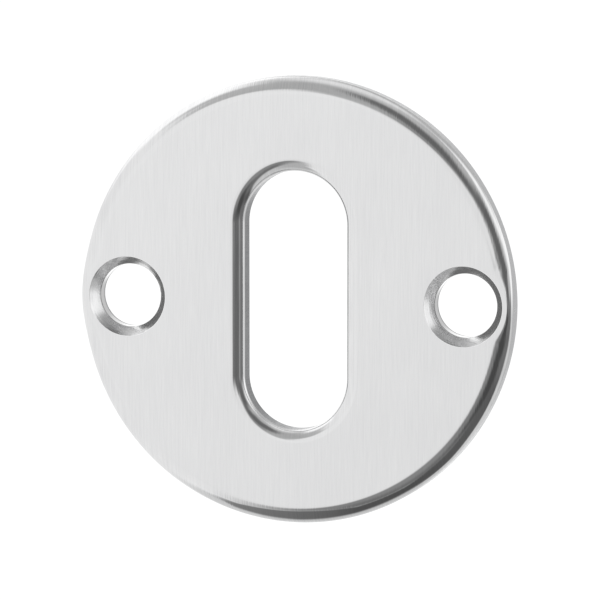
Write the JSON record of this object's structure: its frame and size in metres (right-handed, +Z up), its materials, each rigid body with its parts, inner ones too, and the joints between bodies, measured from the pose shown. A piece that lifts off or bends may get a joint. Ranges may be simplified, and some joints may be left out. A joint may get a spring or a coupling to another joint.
{
  "type": "keyhole escutcheon",
  "caption": "Round brushed metal keyhole escutcheon with an upright rounded key slot and a countersunk screw hole each side, for a door, cabinet or drawer front.",
  "frame": {"origin": "on the flat back face, midway between the two screw holes", "axes": "+X to the right along the line of the screw holes, +Z up along the key slot, -Y out of the brushed front, so the back lies on y = 0"},
  "size_m": [0.038, 0.0022, 0.038],
  "materials": {
    "brushed_plate": "fine upright brushing on the face, polished rounded edges, satin side wall"
  },
  "bodies": {
    "root": {"escutcheon_plate": "brushed_plate"}
  },
  "joints": []
}
